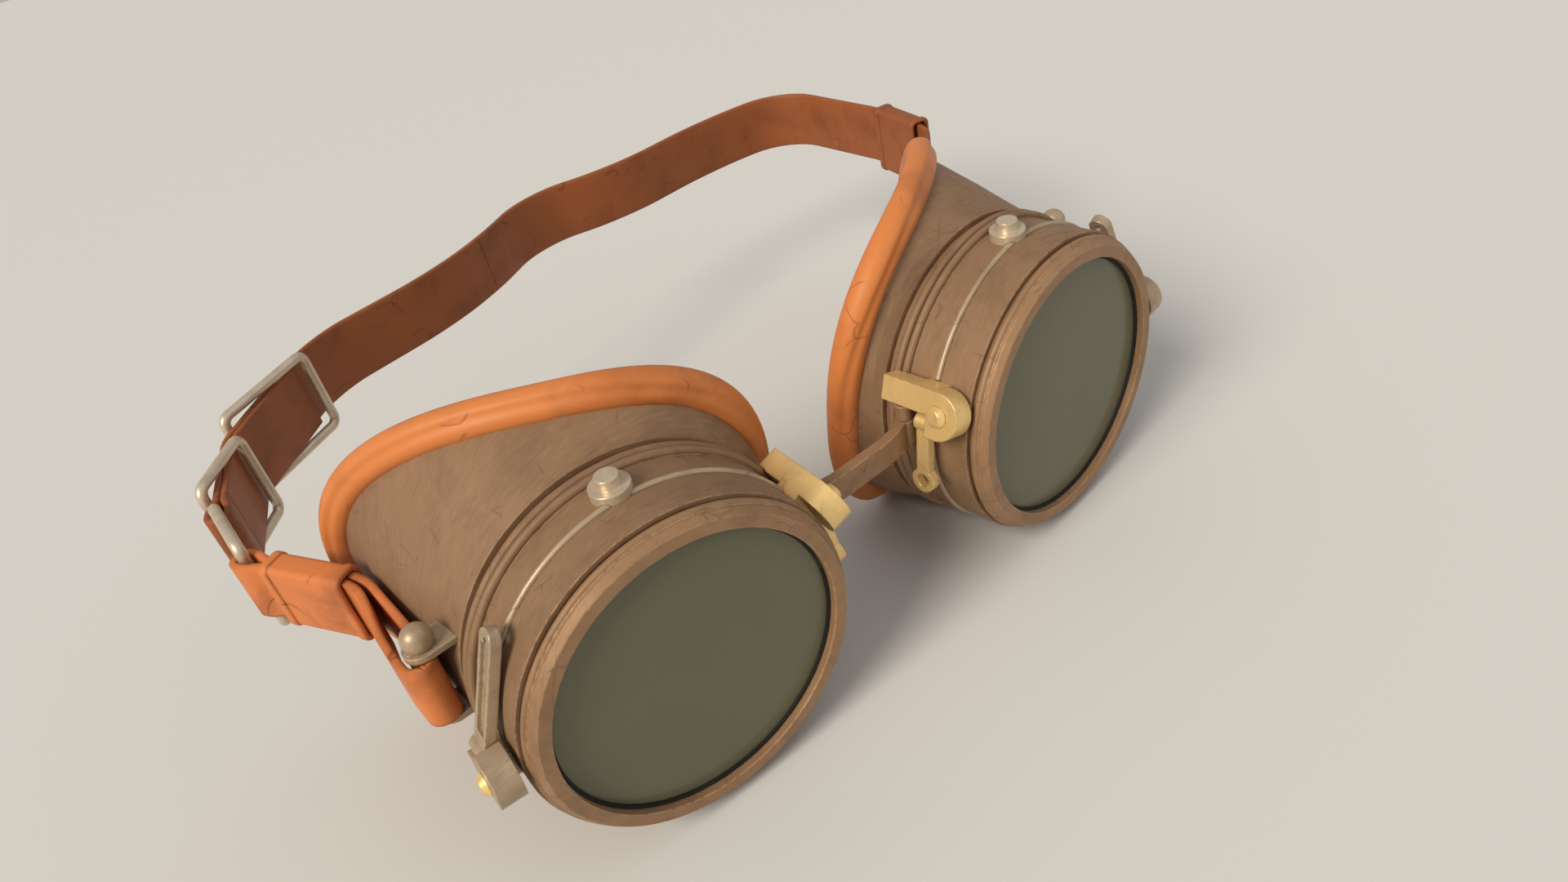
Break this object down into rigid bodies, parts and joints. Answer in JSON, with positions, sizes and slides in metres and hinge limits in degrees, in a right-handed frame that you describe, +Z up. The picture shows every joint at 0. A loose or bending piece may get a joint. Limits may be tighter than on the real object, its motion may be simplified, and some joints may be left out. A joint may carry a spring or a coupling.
{
  "type": "round lens goggles",
  "caption": "Round-lens goggles with screwed bezels, flared metal cups with rolled leather pads, latch levers, a hinged nose bridge and an adjustable leather head strap.",
  "frame": {"origin": "midway between the centres of the two lens mouths", "axes": "+X to the right seen from in front, -Y to the front through the lenses, +Z up as the goggles stand on a table"},
  "size_m": [0.1857, 0.1549, 0.066],
  "materials": {
    "copper": "satin copper tan, worn bright on the rims",
    "aged_bronze": "matt aged bronze",
    "olive_glass": "dark olive lens",
    "black_rubber": "matt black",
    "pad_leather": "smooth tan leather roll",
    "strap_leather": "tan leather strip",
    "silvered_wire": "pale silvered wire",
    "silvered_steel": "pale silvered steel",
    "brass": "bright brass"
  },
  "bodies": {
    "bridge": {"nose_bridge": "aged_bronze", "head_strap": "strap_leather"},
    "left_cup": {"left_lens_barrel": "aged_bronze", "left_rear_gasket": "black_rubber", "left_face_cup": "aged_bronze", "left_face_pad": "pad_leather", "left_upper_wire": "silvered_wire", "left_lower_wire": "silvered_wire", "left_wire_stud": "brass", "left_nose_block": "brass", "left_nose_rivet": "brass", "left_nose_lever_pin": "silvered_steel", "left_temple_block": "brass", "left_temple_screw": "silvered_wire", "left_temple_lever_pin": "silvered_steel", "left_bridge_pin": "silvered_steel", "left_strap_bracket": "silvered_steel", "left_strap_tab": "silvered_steel", "left_strap_pin": "silvered_steel", "left_bracket_ball": "silvered_steel", "left_strap_loop": "strap_leather"},
    "left_lens_pack": {"left_lens": "olive_glass", "left_front_seal": "black_rubber"},
    "left_bezel": {"left_bezel": "copper"},
    "left_temple_lever": {"left_temple_lever": "silvered_steel"},
    "left_nose_lever": {"left_nose_lever": "silvered_steel"},
    "left_keeper": {"left_keeper": "strap_leather"},
    "right_cup": {"right_lens_barrel": "aged_bronze", "right_rear_gasket": "black_rubber", "right_face_cup": "aged_bronze", "right_face_pad": "pad_leather", "right_upper_wire": "silvered_wire", "right_lower_wire": "silvered_wire", "right_wire_stud": "brass", "right_nose_block": "brass", "right_nose_rivet": "brass", "right_nose_lever_pin": "silvered_steel", "right_temple_block": "brass", "right_temple_screw": "silvered_wire", "right_temple_lever_pin": "silvered_steel", "right_bridge_pin": "silvered_steel", "right_strap_bracket": "silvered_steel", "right_strap_tab": "silvered_steel", "right_strap_pin": "silvered_steel", "right_bracket_ball": "silvered_steel", "right_strap_loop": "strap_leather", "strap_rivet": "silvered_steel"},
    "right_lens_pack": {"right_lens": "olive_glass", "right_front_seal": "black_rubber"},
    "right_bezel": {"right_bezel": "copper"},
    "right_temple_lever": {"right_temple_lever": "silvered_steel"},
    "right_nose_lever": {"right_nose_lever": "silvered_steel"},
    "right_keeper": {"right_keeper": "strap_leather"},
    "ring": {"strap_ring": "silvered_steel"},
    "slider": {"strap_slider": "silvered_steel"},
    "buckle": {"strap_buckle": "silvered_steel"}
  },
  "joints": [
    {"name": "left_cup_turn", "type": "hinge", "parent": "bridge", "child": "left_cup", "pos_m": [-0.01171, 0.01072, 0.00613], "axis": [0, -0.1028, 0.9947], "range_deg": [-5, 5], "deforming": ["head_strap"]},
    {"name": "left_lens_slide", "type": "slide", "parent": "left_cup", "child": "left_lens_pack", "axis": [-0.0793, -0.9916, -0.1025], "range_m": [0, 0.003]},
    {"name": "left_bezel_turn", "type": "hinge", "parent": "left_lens_pack", "child": "left_bezel", "pos_m": [-0.0412, 0, 0], "axis": [-0.0793, -0.9916, -0.1025], "range_deg": [0, 180]},
    {"name": "left_temple_lever_turn", "type": "hinge", "parent": "left_cup", "child": "left_temple_lever", "pos_m": [-0.06964, 0.01034, 0.00441], "axis": [-0.0793, -0.9916, -0.1025], "range_deg": [0, 75]},
    {"name": "left_nose_lever_turn", "type": "hinge", "parent": "left_cup", "child": "left_nose_lever", "pos_m": [-0.01222, 0.00633, 0.00856], "axis": [-0.0793, -0.9916, -0.1025], "range_deg": [0, 30]},
    {"name": "right_cup_turn", "type": "hinge", "parent": "bridge", "child": "right_cup", "pos_m": [0.01171, 0.01072, 0.00613], "axis": [0, -0.1028, 0.9947], "range_deg": [-5, 5], "deforming": ["head_strap"]},
    {"name": "right_lens_slide", "type": "slide", "parent": "right_cup", "child": "right_lens_pack", "axis": [0.0793, -0.9916, -0.1025], "range_m": [0, 0.003]},
    {"name": "right_bezel_turn", "type": "hinge", "parent": "right_lens_pack", "child": "right_bezel", "pos_m": [0.0412, 0, 0], "axis": [0.0793, -0.9916, -0.1025], "range_deg": [0, 180]},
    {"name": "right_temple_lever_turn", "type": "hinge", "parent": "right_cup", "child": "right_temple_lever", "pos_m": [0.06964, 0.01034, 0.00441], "axis": [-0.0793, 0.9916, 0.1025], "range_deg": [0, 75]},
    {"name": "right_nose_lever_turn", "type": "hinge", "parent": "right_cup", "child": "right_nose_lever", "pos_m": [0.01222, 0.00633, 0.00856], "axis": [-0.0793, 0.9916, 0.1025], "range_deg": [0, 30]},
    {"name": "left_keeper_slide", "type": "slide", "parent": "left_cup", "child": "left_keeper", "axis": [-0.454, 0.8863, 0.0916], "range_m": [-0.0005, 0.002]},
    {"name": "right_keeper_slide", "type": "slide", "parent": "right_cup", "child": "right_keeper", "axis": [0.1899, 0.9766, 0.1009], "range_m": [-0.001, 0.002], "deforming": ["head_strap"]},
    {"name": "ring_swing", "type": "hinge", "parent": "left_cup", "child": "ring", "pos_m": [-0.08026, 0.06879, 0.01143], "axis": [0, -0.1028, 0.9947], "range_deg": [-5, 5], "deforming": ["head_strap"]},
    {"name": "slider_slide", "type": "slide", "parent": "left_cup", "child": "slider", "axis": [0.3597, 0.9281, 0.0959], "range_m": [-0.0008, 0.0015], "deforming": ["head_strap"]},
    {"name": "buckle_slide", "type": "slide", "parent": "left_cup", "child": "buckle", "axis": [0.7279, 0.6821, 0.0705], "range_m": [-0.002, 0.003], "deforming": ["head_strap"]}
  ],
  "couplings": [
    {"joint": "left_bezel_turn", "follows": "left_lens_slide", "rad_per_m": 1047.2},
    {"joint": "right_bezel_turn", "follows": "right_lens_slide", "rad_per_m": 1047.2}
  ]
}
